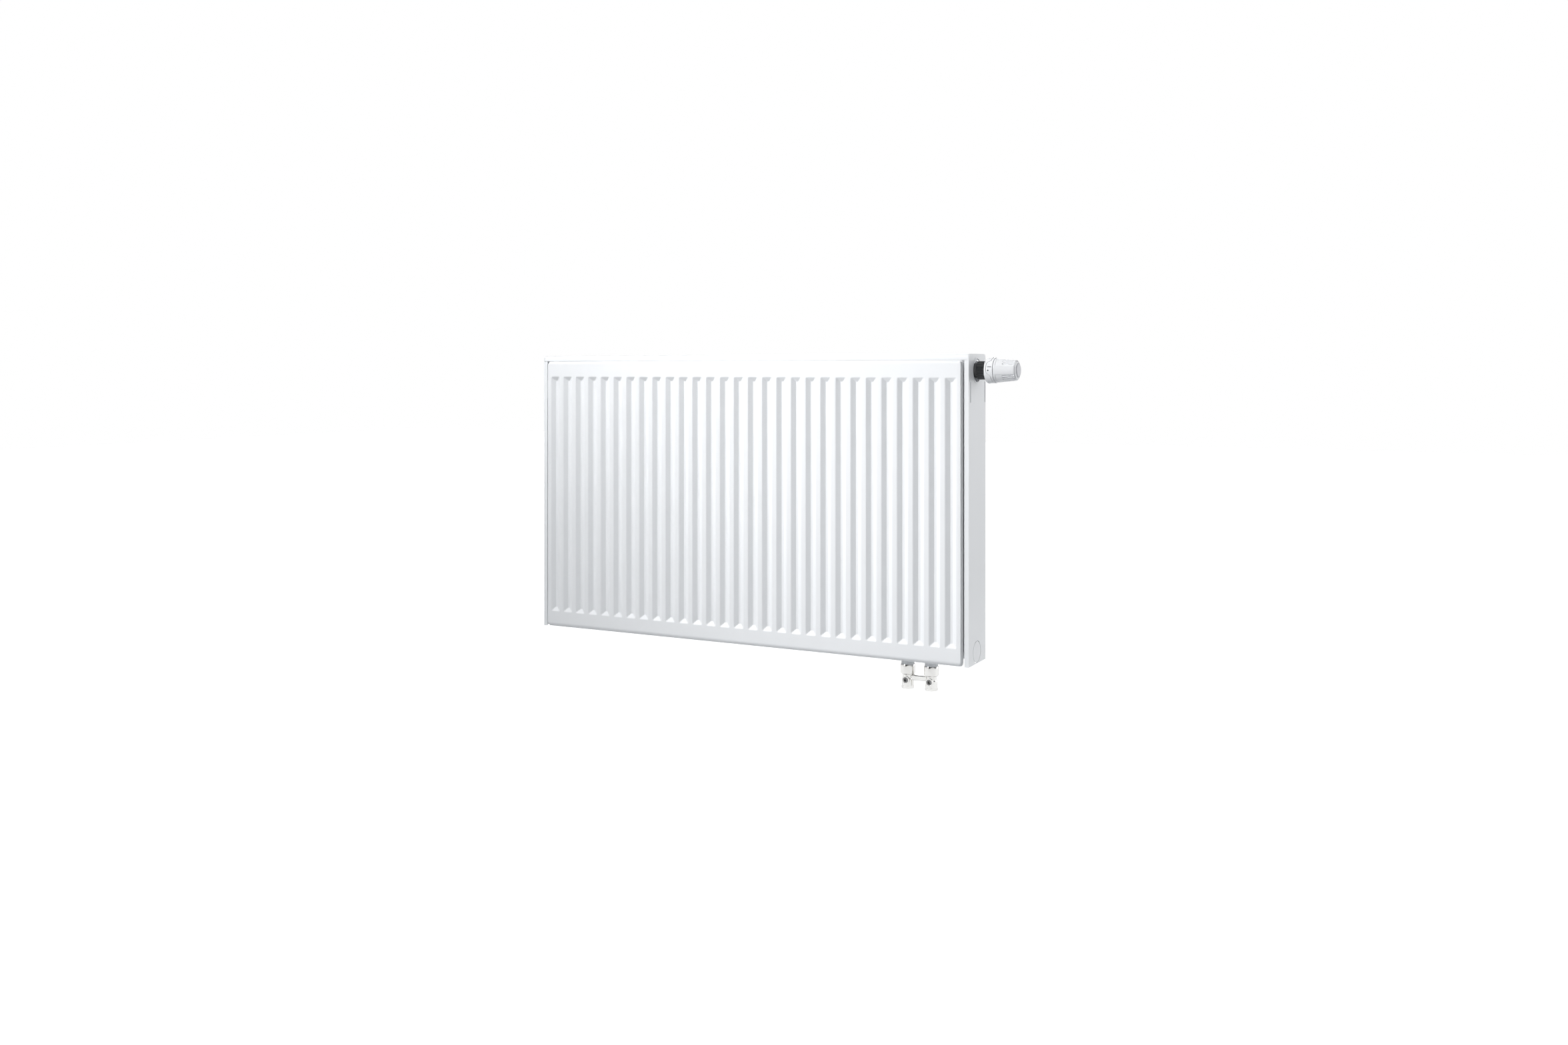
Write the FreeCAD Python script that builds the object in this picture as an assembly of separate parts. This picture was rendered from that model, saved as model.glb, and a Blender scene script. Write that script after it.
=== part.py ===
"""Steel panel radiator, type 22, with built-in thermostatic valve and a lower connection block.

Built in a bench frame: X = 0 at mid-width (+X towards the valve), Y = 0 at the front face,
Z = 0 at the lower edge of the side covers.  keep() then shifts every piece so that the origin
lies at the centre of the four hanging lugs, in the plane that rests on the wall brackets.
"""
import FreeCAD, Part
import math
import os

V = FreeCAD.Vector
X_AXIS = V(1, 0, 0)
Y_AXIS = V(0, 1, 0)
Z_AXIS = V(0, 0, 1)

# ---------------------------------------------------------------- driving dimensions (mm)
WIDTH = 1003.0              # over both side covers
HEIGHT = 600.0              # from the covers' lower edge to the top grille
DEPTH = 102.0               # over the front and rear water panels

PANEL_SHEET = 1.2           # pressed steel of the water panels
PANEL_INSET = 13.5          # side cover's outside to the panel's side wall
PANEL_BOTTOM = 3.0          # the panel's lower wall above the covers' lower edge
PANEL_TOP_GAP = 14.5        # top of the grille down to the panel's upper wall
OUTER_PRESSING = 6.0        # depth of the flutes in an outer sheet
INNER_PRESSING = 5.0        # depth of the flutes in an inner sheet
PANEL_EDGE_R = 2.4          # bend round the panel's face
PANEL_CORNER_R = 7.0
SEAM_RIM = 2.0              # welded rim outside the panel's walls

FLUTE_PITCH = 100.0 / 3.0
FLUTE_EDGE = 20.0           # least distance of a flute's centre from the panel's side wall
FLUTE_MOUTH = 23.0
FLUTE_FLOOR = 5.0
FLUTE_END_RUN = 8.5         # slope of a flute's end wall, measured in Z
HEADER_LOW = 32.0           # panel's lower wall to the flutes' lower ends
HEADER_HIGH = 31.5          # flutes' upper ends to the panel's upper wall

FIN_SHEET = 0.5
FIN_MIDDLE_GAP = 15.2       # air gap between the two convectors
FIN_LAND = 9.0              # flat that is welded to a water channel
FIN_END_GAP = 44.0          # panel's upper and lower wall to the fins
FIN_SIDE_GAP = 60.0         # side cover to the first fin

COVER_SHEET = 1.0
COVER_SETBACK = 5.5         # front panel's face to the cover's front flange
COVER_REAR = 1.5            # rear panel's face to the cover's rear flange
COVER_FLANGE = 9.0
COVER_CORNER_R = 8.0        # bend from the grille into its front and rear lips
GRILLE_LIP = 12.0
GRILLE_GAP = 0.4            # grille to side cover
SLOT_WIDTH = 7.0
SLOT_LENGTH = 62.0
SLOT_PITCH = 12.5
SLOT_GROUP = 6
SLIT_WIDTH = 3.2
SLIT_LENGTH = 40.0
SLIT_TOP = 54.0             # top of the grille down to the slits
SLIT_FRONT = 9.0            # cover's front and rear edges to the slits
SLIT_REAR = 2.0
HOLE_R = 22.5               # opening round the valve
HOLE_RIM = 3.0
HOLE_RIM_HEIGHT = 0.8
KNOCKOUT_R = 21.5
KNOCKOUT_LINE = 1.2
KNOCKOUT_TAB = 5.0

PORT_LOW = 21.0             # lower end connections above the covers' lower edge
PORT_HIGH = 32.0            # top of the grille down to the valve's axis
PORT_INSET = 31.5           # side cover's outside to the connectors' cross tubes
CROSS_R = 11.0
CROSS_BORE_R = 8.0
BOSS_R = 14.0
BOSS_BORE_R = 10.3          # half-inch internal thread
BOSS_END_GAP = 6.5          # side cover's outside to the boss's end face

CONNECT_PITCH = 50.0        # flow and return, centre to centre
CONNECT_EDGE = 94.5         # side cover's outside to the return's centre
PIPE_R = 7.5
PIPE_WALL = 1.2
PIPE_BEND_R = 20.0
NIPPLE_R = 13.2             # three-quarter-inch external thread
NIPPLE_BORE_R = 8.0
NIPPLE_DROP = 26.5          # covers' lower edge down to the nipple's end face
NIPPLE_TOP = 12.0           # top of the socket that the pipe is brazed into
NIPPLE_SOCKET = 6.0

LUG_WIDTH = 42.0
LUG_HEIGHT = 50.0
LUG_SHEET = 2.0
LUG_STANDOFF = 10.0         # rear panel's face to the lugs' rear plane
LUG_SLOT = 13.0
LUG_SLOT_HEIGHT = 26.0
LUG_EDGE = 151.5            # side cover's outside to a lug's centre
LUG_END = 80.0              # grille's top and covers' lower edge to the lugs' centres

STEM_R = 3.0
STEM_FIT = 0.06             # running fit round the stems
TURN_FIT = 0.4              # turning cap to the fixed collar and inner sleeve
HEAD_COLLAR_ROOM = 8.8      # cap's bore to the collar's outside
HEAD_COLLAR_WALL = 1.6
HEAD_COLLAR_LENGTH = 19.0
HEAD_CAP_END_WALL = 2.8     # cap's bore to its outside at the end
HEAD_CAP_LENGTH = 46.0      # cap outside the collar
HEAD_CAP_WALL = 1.8         # left under the cap's grip slots
HEAD_CAP_HIDDEN = 5.0       # cap inside the collar
NUT_R = 18.0
NUT_LENGTH = 17.0
NUT_START = 3.5             # side cover's outside to the nut
VALVE_THREAD_R = 15.0       # thread for the head's union nut
SENSOR_R = 14.5
SLEEVE_WALL = 1.5           # guide sleeve round the sensor
SENSOR_LENGTH = 30.0

BLOCK_NUT_WALL = 1.3        # thread to the flats
BLOCK_NUT_LENGTH = 20.0
BLOCK_NECK_R = 11.0
BLOCK_BODY_R = 12.2
BLOCK_BODY_LENGTH = 21.5
BLOCK_PORT_R = 9.3          # half-inch internal thread
BLOCK_PORT_LENGTH = 11.0
BLOCK_BORE_R = 5.0
BRIDGE_HEIGHT = 11.0
BRIDGE_GAP = 0.5            # union nuts to the bridge
BLOCK_FOOT_FLATS = 24.0     # octagon at the lower end of the block
BLOCK_FOOT_HEIGHT = 6.0
BRIDGE_DEPTH = 11.0
PLUG_R = 5.6
PLUG_BOSS_WALL = 2.2
PLUG_BOSS_PROUD = 0.6
PLUG_SOCKET_FLATS = 6.0     # hexagon key
PLUG_SOCKET_DEPTH = 4.0
GASKET = 1.5
SEAL = 1.2                  # flat seals under the plugs and the valve insert
SPIGOT = 8.0                # housing's spigot that the riser is brazed to
VALVE_SEAT_R = 5.0
VALVE_FLANGE = 4.2          # boss's end face to the head's thread
NECK_LENGTH = 11.0
SEAT_WALL = 2.5             # metal between the riser's end and the seat
SEAT_GAP = 2.6              # disc above its seat with the head half open
DISC_THICK = 2.5
SPRING_R = 7.0
COIL_STEPS = 14
STEM_PROUD = 6.0
VENT_R = 3.0
HEAD_FLANGE = 2.5
HEAD_SPIGOT_R = 12.5
KNURLS = 30
CAP_END_RADIUS = 6.0
END_DISC_R = 14.0
GRIP_FIELDS = 4             # groups of three grip slots round the cap
GRIP_TURN = 42.0            # top of the cap to the first group, degrees
GRIP_STEP = 12.0            # degrees between slots
GRIP_START = 16.0           # collar to the slots
PIN_LENGTH = 13.5
PIN_HEAD = 2.0
CAP_WEB = 2.0
BLOCK_FLANGE = 2.0
BLOCK_NUT_LIP = 3.0
BLOCK_NECK = 7.0

# ---------------------------------------------------------------- places worked out from them
RIGHT = WIDTH / 2
MID_Y = DEPTH / 2
PANEL_HALF = WIDTH / 2 - PANEL_INSET
PANEL_TOP = HEIGHT - PANEL_TOP_GAP
FLUTE_LOW = PANEL_BOTTOM + HEADER_LOW
FLUTE_HIGH = PANEL_TOP - HEADER_HIGH
FLUTE_COUNT = 1 + int(2 * (PANEL_HALF - FLUTE_EDGE + 0.01) / FLUTE_PITCH)
FLUTE_X = [(i - (FLUTE_COUNT - 1) / 2) * FLUTE_PITCH for i in range(FLUTE_COUNT)]
OUTER_FLOOR = OUTER_PRESSING + PANEL_SHEET
PANEL_BACK = OUTER_FLOOR + PANEL_SHEET + INNER_PRESSING
FIN_DEPTH = MID_Y - FIN_MIDDLE_GAP / 2 - PANEL_BACK
VALVE_Z = HEIGHT - PORT_HIGH
PORT_X = RIGHT - PORT_INSET
BOSS_END = RIGHT - BOSS_END_GAP
RETURN_X = RIGHT - CONNECT_EDGE
FLOW_X = RETURN_X - CONNECT_PITCH
LUG_PLANE = DEPTH + LUG_STANDOFF
LUG_MID_Z = HEIGHT / 2
SOCKET_Z = NIPPLE_TOP - NIPPLE_SOCKET
SEAT_X = PORT_X - CROSS_R + SEAT_WALL
NECK_END = BOSS_END + VALVE_FLANGE + NECK_LENGTH
ORIGIN = V(0, -LUG_PLANE, -LUG_MID_Z)
SLEEVE_R = SENSOR_R + TURN_FIT
CAP_BORE_R = SLEEVE_R + SLEEVE_WALL + TURN_FIT
HEAD_COLLAR_R = CAP_BORE_R + HEAD_COLLAR_ROOM
HEAD_CAP_END_R = CAP_BORE_R + HEAD_CAP_END_WALL
BLOCK_NUT_FLATS = 2 * (NIPPLE_R + BLOCK_NUT_WALL)
BIG = 200.0


def box(x0, y0, z0, x1, y1, z1):
    return Part.makeBox(x1 - x0, y1 - y0, z1 - z0, V(x0, y0, z0))


def rod(axis, radius, start, end, centre):
    """Cylinder along axis from start to end; centre holds the other two coordinates."""
    if axis == X_AXIS:
        base = V(start, centre[0], centre[1])
    elif axis == Y_AXIS:
        base = V(centre[0], start, centre[1])
    else:
        base = V(centre[0], centre[1], start)
    return Part.makeCylinder(radius, end - start, base, axis)


def tube(axis, outer, inner, start, end, centre):
    return rod(axis, outer, start, end, centre).cut(rod(axis, inner, start - 1, end + 1, centre))


def turned(points, centre, axis):
    """Solid turned about axis; points are (distance along the axis, radius)."""
    if axis == X_AXIS:
        ring = [V(a, centre[0], centre[1] + r) for a, r in points]
        base = V(0, centre[0], centre[1])
    else:
        ring = [V(centre[0] + r, centre[1], a) for a, r in points]
        base = V(centre[0], centre[1], 0)
    face = Part.Face(Part.makePolygon(ring + [ring[0]]))
    return face.revolve(base, axis, 360)


def prism(axis, sides, across_flats, start, end, centre):
    """Regular prism about axis, such as a hexagon head."""
    corner = across_flats / 2 / math.cos(math.pi / sides)
    ring = []
    for i in range(sides):
        turn = math.pi * (2 * i + 1) / sides
        a = corner * math.cos(turn)
        b = corner * math.sin(turn)
        if axis == X_AXIS:
            ring.append(V(start, centre[0] + a, centre[1] + b))
        elif axis == Y_AXIS:
            ring.append(V(centre[0] + a, start, centre[1] + b))
        else:
            ring.append(V(centre[0] + a, centre[1] + b, start))
    face = Part.Face(Part.makePolygon(ring + [ring[0]]))
    return face.extrude(axis * (end - start))


def coil(radius, wire_r, start, end, turns, centre):
    """Wire spring along X, its helix drawn as short straight lengths with mitred joints."""
    rise = end - start - 2 * wire_r
    count = int(turns * COIL_STEPS)
    path = []
    for i in range(count + 1):
        turn = 2 * math.pi * i / COIL_STEPS
        path.append(V(start + wire_r + rise * i / count,
                      centre[0] + radius * math.cos(turn), centre[1] + radius * math.sin(turn)))
    profile = Part.Wire(Part.makeCircle(wire_r, path[0], path[1] - path[0]))
    mitred = 1
    return Part.makePolygon(path).makePipeShell([profile], True, False, mitred)


def mirror_x(shape):
    return shape.mirror(V(0, 0, 0), X_AXIS)


def mirror_depth(shape):
    """The same piece on the other side of the radiator's mid-depth."""
    return shape.mirror(V(0, MID_Y, 0), Y_AXIS)


def keep(name, *shapes):
    """Shift the piece to the lugs' frame and write it as one node."""
    solids = []
    for shape in shapes:
        clean = shape.removeSplitter()
        clean.translate(ORIGIN)
        for solid in clean.Solids:
            solids.append(solid)
    whole = solids[0] if len(solids) == 1 else Part.makeCompound(solids)
    for solid in solids:
        if not solid.isValid():
            raise ValueError("bad solid in " + name)
    whole.exportStep("parts/" + name + ".step")
    print(name, len(solids), round(sum(s.Volume for s in solids)))


# ---------------------------------------------------------------- water panels
def flute(x, face, pressing):
    """Tapered press tool for one flute: wide at the face, narrow at the floor."""
    half = FLUTE_MOUTH / 2
    floor = FLUTE_FLOOR / 2
    low = FLUTE_LOW + FLUTE_END_RUN
    high = FLUTE_HIGH - FLUTE_END_RUN
    mouth = [V(x - half, face, FLUTE_LOW), V(x + half, face, FLUTE_LOW),
             V(x + half, face, FLUTE_HIGH), V(x - half, face, FLUTE_HIGH)]
    bed = [V(x - floor, face + pressing, low), V(x + floor, face + pressing, low),
           V(x + floor, face + pressing, high), V(x - floor, face + pressing, high)]
    faces = [Part.Face(Part.makePolygon(mouth + [mouth[0]])),
             Part.Face(Part.makePolygon(bed + [bed[0]]))]
    for i in range(4):
        j = (i + 1) % 4
        faces.append(Part.Face(Part.makePolygon([mouth[i], mouth[j], bed[j], bed[i], mouth[i]])))
    solid = Part.Solid(Part.makeShell(faces))
    if solid.Volume < 0:
        solid.reverse()
    return solid


def tray(half, low, high, face, back, corner_r, edge_r):
    """Block with rounded corners and a rounded front face."""
    block = box(-half, face, low, half, back, high)
    upright = [e for e in block.Edges if abs(e.tangentAt(e.FirstParameter).y) > 0.9]
    block = block.makeFillet(corner_r, upright)
    front = [e for e in block.Edges
             if all(abs(v.Point.y - face) < 1e-6 for v in e.Vertexes)]
    return block.makeFillet(edge_r, front)


def pressed_sheet(pressing):
    """One sheet of a panel, face at Y = 0, its rim and flute floors at the back."""
    back = pressing + PANEL_SHEET
    wall = PANEL_SHEET
    outside = tray(PANEL_HALF, PANEL_BOTTOM, PANEL_TOP, 0, back, PANEL_CORNER_R, PANEL_EDGE_R)
    rim = box(-PANEL_HALF - SEAM_RIM, pressing, PANEL_BOTTOM - SEAM_RIM,
              PANEL_HALF + SEAM_RIM, back, PANEL_TOP + SEAM_RIM)
    upright = [e for e in rim.Edges if abs(e.tangentAt(e.FirstParameter).y) > 0.9]
    rim = rim.makeFillet(PANEL_CORNER_R + SEAM_RIM, upright)
    hollow = tray(PANEL_HALF - wall, PANEL_BOTTOM + wall, PANEL_TOP - wall,
                  wall, back + 1, PANEL_CORNER_R - wall, PANEL_EDGE_R - wall)
    hollow = hollow.cut(Part.makeCompound([flute_block(x, wall, pressing) for x in FLUTE_X]))
    sheet = outside.fuse(rim).cut(Part.makeCompound([flute(x, 0, pressing) for x in FLUTE_X]))
    return sheet.cut(hollow)


def flute_block(x, face, pressing):
    """Metal kept behind one flute, run on past the back of the hollow."""
    floor = FLUTE_FLOOR / 2
    low = FLUTE_LOW + FLUTE_END_RUN
    high = FLUTE_HIGH - FLUTE_END_RUN
    return flute(x, face, pressing).fuse(box(x - floor, face + pressing, low,
                                             x + floor, face + pressing + 2, high))


def water_panels():
    outer = pressed_sheet(OUTER_PRESSING)
    inner = pressed_sheet(INNER_PRESSING).mirror(V(0, 0, 0), Y_AXIS)
    inner.translate(V(0, PANEL_BACK, 0))
    for x in (-PORT_X, PORT_X):
        for z in (PORT_LOW, VALVE_Z):
            inner = inner.cut(rod(Y_AXIS, CROSS_BORE_R, 0, PANEL_BACK + 1, (x, z)))
    keep("front_panel_outer_sheet", outer)
    keep("front_panel_inner_sheet", inner)
    keep("rear_panel_inner_sheet", mirror_depth(inner))
    keep("rear_panel_outer_sheet", mirror_depth(outer))


# ---------------------------------------------------------------- convector fins
def convector():
    """Corrugated sheet whose lands sit on the water channels between the flutes."""
    first = -RIGHT + FIN_SIDE_GAP
    last = FLOW_X - PIPE_R - 10
    channels = [x + FLUTE_PITCH / 2 for x in FLUTE_X[:-1]]
    lands = [x for x in channels if first + FIN_LAND / 2 <= x <= last - FIN_LAND / 2]
    near = PANEL_BACK
    far = PANEL_BACK + FIN_DEPTH
    lower = []
    upper = []
    half = FIN_LAND / 2
    run = FLUTE_PITCH / 2 - FIN_LAND
    slip = (FIN_SHEET * math.hypot(run, FIN_DEPTH) - FIN_SHEET * run) / FIN_DEPTH
    for i, x in enumerate(lands):
        lower.append(V(x - half, near, 0))
        lower.append(V(x + half, near, 0))
        upper.append(V(x - half + slip, near + FIN_SHEET, 0))
        upper.append(V(x + half - slip, near + FIN_SHEET, 0))
        if i < len(lands) - 1:
            crest = x + FLUTE_PITCH / 2
            lower.append(V(crest - half + slip, far - FIN_SHEET, 0))
            lower.append(V(crest + half - slip, far - FIN_SHEET, 0))
            upper.append(V(crest - half, far, 0))
            upper.append(V(crest + half, far, 0))
    upper[0] = V(lands[0] - half, near + FIN_SHEET, 0)
    upper[-1] = V(lands[-1] + half, near + FIN_SHEET, 0)
    ring = lower + upper[::-1]
    face = Part.Face(Part.makePolygon(ring + [ring[0]]))
    low = PANEL_BOTTOM + FIN_END_GAP
    high = PANEL_TOP - FIN_END_GAP
    face.translate(V(0, 0, low))
    return face.extrude(Z_AXIS * (high - low))


def convectors():
    fins = convector()
    keep("front_convector", fins)
    keep("rear_convector", mirror_depth(fins))


# ---------------------------------------------------------------- casing
def casing_block(half, low, inset):
    """Outline of the casing from low to the top, its upper front and rear edges rounded."""
    block = box(-half, COVER_SETBACK + inset, low, half, DEPTH - COVER_REAR - inset, HEIGHT - inset)
    top = [e for e in block.Edges if abs(e.tangentAt(e.FirstParameter).x) > 0.9
           and all(v.Point.z > HEIGHT - inset - 1e-6 for v in e.Vertexes)]
    return block.makeFillet(COVER_CORNER_R - inset, top)


def top_grille():
    """Louvred top plate between the side covers, bent down to a front and a rear lip."""
    half = RIGHT - COVER_SHEET - GRILLE_GAP
    low = HEIGHT - GRILLE_LIP
    grille = casing_block(half, low, 0).cut(casing_block(half + 1, low - 1, COVER_SHEET))
    group = SLOT_GROUP * SLOT_PITCH + SLOT_PITCH / 2
    groups = int((2 * half - SLOT_PITCH) / group)
    slots = []
    for g in range(groups):
        for i in range(SLOT_GROUP):
            x = (g - (groups - 1) / 2) * group + (i - (SLOT_GROUP - 1) / 2) * SLOT_PITCH
            slots.append(rounded_slot(x))
    keep("top_grille", grille.cut(Part.makeCompound(slots)))


def rounded_slot(x):
    """Slot across the depth with round ends, through the grille's plate."""
    r = SLOT_WIDTH / 2
    reach = SLOT_LENGTH / 2 - r
    low = HEIGHT - COVER_SHEET - 1
    high = HEIGHT + 1
    middle = box(x - r, MID_Y - reach, low, x + r, MID_Y + reach, high)
    ends = [rod(Z_AXIS, r, low, high, (x, MID_Y + side * reach)) for side in (-1, 1)]
    return middle.multiFuse(ends)


def side_cover():
    """Right-hand cover: folded channel with an embossed valve opening and a knock-out."""
    front = COVER_SETBACK
    back = DEPTH - COVER_REAR
    face = RIGHT - COVER_SHEET
    flange_top = HEIGHT - GRILLE_LIP - GRILLE_GAP
    plate = casing_block(RIGHT, 0, 0).cut(box(-RIGHT - 1, 0, -1, face, DEPTH, HEIGHT + 1))
    flanges = [box(RIGHT - COVER_FLANGE, y, 0, RIGHT, y + COVER_SHEET, flange_top)
               for y in (front, back - COVER_SHEET)]
    rim = tube(X_AXIS, HOLE_R + HOLE_RIM, HOLE_R, face, RIGHT + HOLE_RIM_HEIGHT, (MID_Y, VALVE_Z))
    cover = plate.multiFuse(flanges + [rim])
    cover = cover.cut(rod(X_AXIS, HOLE_R, face - 1, RIGHT + 5, (MID_Y, VALVE_Z)))
    slits = []
    for y in (front + SLIT_FRONT, back - SLIT_REAR - SLIT_WIDTH):
        slits.append(box(face - 1, y, HEIGHT - SLIT_TOP - SLIT_LENGTH,
                         RIGHT + 1, y + SLIT_WIDTH, HEIGHT - SLIT_TOP))
    ring = tube(X_AXIS, KNOCKOUT_R, KNOCKOUT_R - KNOCKOUT_LINE, face - 1, RIGHT + 1,
                (MID_Y, KNOCKOUT_R + KNOCKOUT_LINE))
    tabs = [box(face - 2, MID_Y - KNOCKOUT_TAB / 2, 0, RIGHT + 2, MID_Y + KNOCKOUT_TAB / 2, BIG)]
    ring = ring.cut(Part.makeCompound(tabs))
    return cover.cut(Part.makeCompound(slits + ring.Solids))


def side_covers():
    cover = side_cover()
    keep("side_cover_right", cover)
    keep("side_cover_left", mirror_x(cover))


def hanging_lugs():
    """Four welded hooks: a folded strap with a slot that drops over the wall bracket."""
    lugs = []
    for side in (-1, 1):
        x = side * (RIGHT - LUG_EDGE)
        for z in (LUG_END, HEIGHT - LUG_END):
            low = z - LUG_HEIGHT / 2
            high = z + LUG_HEIGHT / 2
            half = LUG_WIDTH / 2
            strap = box(x - half, LUG_PLANE - LUG_SHEET, low, x + half, LUG_PLANE, high)
            legs = [box(x - half, DEPTH, low, x - half + LUG_SHEET, LUG_PLANE, high),
                    box(x + half - LUG_SHEET, DEPTH, low, x + half, LUG_PLANE, high)]
            slot = box(x - LUG_SLOT / 2, LUG_PLANE - LUG_SHEET - 1, low - 1,
                       x + LUG_SLOT / 2, LUG_PLANE + 1, low + LUG_SLOT_HEIGHT)
            crown = rod(Y_AXIS, LUG_SLOT / 2, LUG_PLANE - LUG_SHEET - 1, LUG_PLANE + 1,
                        (x, low + LUG_SLOT_HEIGHT))
            lugs.append(strap.multiFuse(legs).cut(slot.fuse(crown)))
    keep("hanging_lugs", *lugs)


# ---------------------------------------------------------------- water connections
def cross_connector(z, bore_end):
    """Tee welded between the two panels, with a threaded boss out to the side cover."""
    cross = rod(Y_AXIS, CROSS_R, PANEL_BACK, DEPTH - PANEL_BACK, (PORT_X, z))
    boss = rod(X_AXIS, BOSS_R, PORT_X - CROSS_R, BOSS_END, (MID_Y, z))
    tee = cross.fuse(boss)
    bores = [rod(Y_AXIS, CROSS_BORE_R, 0, DEPTH, (PORT_X, z)),
             rod(X_AXIS, BOSS_BORE_R, bore_end, BOSS_END + 1, (MID_Y, z))]
    return tee.cut(Part.makeCompound(bores))


def blank_plug(z):
    """Half-inch plug with a flange, a hexagon socket and a threaded shank."""
    shank = BOSS_BORE_R - STEM_FIT
    plug = turned([(BOSS_END - 10, 0), (BOSS_END - 10, shank), (BOSS_END + SEAL, shank),
                   (BOSS_END + SEAL, BOSS_R - 0.5), (BOSS_END + SEAL + 2, BOSS_R - 1.2),
                   (BOSS_END + SEAL + 2, 0)], (MID_Y, z), X_AXIS)
    return plug.cut(prism(X_AXIS, 6, 8, BOSS_END - 5, BOSS_END + SEAL + 3, (MID_Y, z)))


def seal_ring(z):
    return tube(X_AXIS, BOSS_R - 0.5, BOSS_BORE_R, BOSS_END, BOSS_END + SEAL, (MID_Y, z))


def bent_pipe(points):
    """Round pipe along straight runs joined by tangent arcs."""
    return swept(points, PIPE_R).cut(swept(points, PIPE_R - PIPE_WALL))


def swept(points, radius):
    """Solid bar along the runs, with a quarter bend at each corner."""
    pieces = []
    start = points[0]
    for before, here, after in zip(points, points[1:], points[2:]):
        d0 = (here - before).normalize()
        d1 = (after - here).normalize()
        bend_in = here - d0 * PIPE_BEND_R
        bend_out = here + d1 * PIPE_BEND_R
        pieces.append(Part.makeCylinder(radius, (bend_in - start).Length, start, d0))
        centre = bend_in + d1 * PIPE_BEND_R
        circle = Part.Face(Part.Wire(Part.makeCircle(radius, bend_in, d0)))
        pieces.append(circle.revolve(centre, d0.cross(d1), 90))
        start = bend_out
    last = points[-1]
    pieces.append(Part.makeCylinder(radius, (last - start).Length, start, last - start))
    whole = pieces[0]
    for piece in pieces[1:]:
        whole = whole.fuse(piece)
    return whole


def connections():
    """Tees, the valve housing, the two lower nipples and the pipes between them."""
    inner_end = PORT_X - CROSS_R
    lower = cross_connector(PORT_LOW, PORT_X)
    upper = cross_connector(VALVE_Z, PORT_X)
    keep("lower_left_tee", mirror_x(lower))
    keep("upper_left_tee", mirror_x(upper))
    pipe_bore = PIPE_R - PIPE_WALL
    keep("return_tee", lower.cut(rod(X_AXIS, pipe_bore, inner_end - 1, PORT_X, (MID_Y, PORT_LOW))))
    centre = (MID_Y, VALVE_Z)
    spigot = rod(X_AXIS, BOSS_R - 2, inner_end - SPIGOT, inner_end + 1, centre)
    ways = [rod(X_AXIS, VALVE_SEAT_R, inner_end - SPIGOT - 1, PORT_X, centre),
            rod(X_AXIS, CROSS_BORE_R, SEAT_X, PORT_X, centre)]
    keep("valve_housing", upper.fuse(spigot).cut(ways[0]).cut(ways[1]))
    nipples = []
    for x in (FLOW_X, RETURN_X):
        thread = turned([(-NIPPLE_DROP, NIPPLE_BORE_R), (-NIPPLE_DROP, NIPPLE_R - 1.2),
                         (-NIPPLE_DROP + 1.2, NIPPLE_R), (2, NIPPLE_R), (2, NIPPLE_R - 3),
                         (NIPPLE_TOP, NIPPLE_R - 3), (NIPPLE_TOP, PIPE_R),
                         (SOCKET_Z, PIPE_R), (SOCKET_Z, NIPPLE_BORE_R - 2),
                         (SOCKET_Z - 2, NIPPLE_BORE_R)],
                        (x, MID_Y), Z_AXIS)
        nipples.append(thread)
    keep("flow_nipple", nipples[0])
    keep("return_nipple", nipples[1])
    bracket = box(FLOW_X - 24, MID_Y - 16, 0, RETURN_X + 24, MID_Y + 16, 2)
    flanges = [box(FLOW_X - 24, PANEL_BACK, 0, RETURN_X + 24, MID_Y - 16, 2),
               box(FLOW_X - 24, MID_Y + 16, 0, RETURN_X + 24, DEPTH - PANEL_BACK, 2),
               box(FLOW_X - 24, PANEL_BACK, 2, RETURN_X + 24, PANEL_BACK + 2, 14),
               box(FLOW_X - 24, DEPTH - PANEL_BACK - 2, 2, RETURN_X + 24, DEPTH - PANEL_BACK, 14)]
    holes = [rod(Z_AXIS, NIPPLE_R, -1, 3, (x, MID_Y)) for x in (FLOW_X, RETURN_X)]
    keep("nipple_bracket", bracket.multiFuse(flanges).cut(Part.makeCompound(holes)))
    riser_top = V(inner_end - SPIGOT, MID_Y, VALVE_Z)
    keep("riser_pipe", bent_pipe([V(FLOW_X, MID_Y, SOCKET_Z), V(FLOW_X, MID_Y, VALVE_Z), riser_top]))
    keep("return_pipe", short_pipe(inner_end))


def short_pipe(inner_end):
    """Elbow from the return nipple to the return tee, mitred because the run is short."""
    up = rod(Z_AXIS, PIPE_R, SOCKET_Z, PORT_LOW, (RETURN_X, MID_Y))
    along = rod(X_AXIS, PIPE_R, RETURN_X, inner_end, (MID_Y, PORT_LOW))
    knee = Part.makeSphere(PIPE_R, V(RETURN_X, MID_Y, PORT_LOW))
    bore = PIPE_R - PIPE_WALL
    hollow = [rod(Z_AXIS, bore, SOCKET_Z - 1, PORT_LOW, (RETURN_X, MID_Y)),
              rod(X_AXIS, bore, RETURN_X, inner_end + 1, (MID_Y, PORT_LOW)),
              Part.makeSphere(bore, V(RETURN_X, MID_Y, PORT_LOW))]
    return up.multiFuse([along, knee]).cut(Part.makeCompound(hollow))


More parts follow.
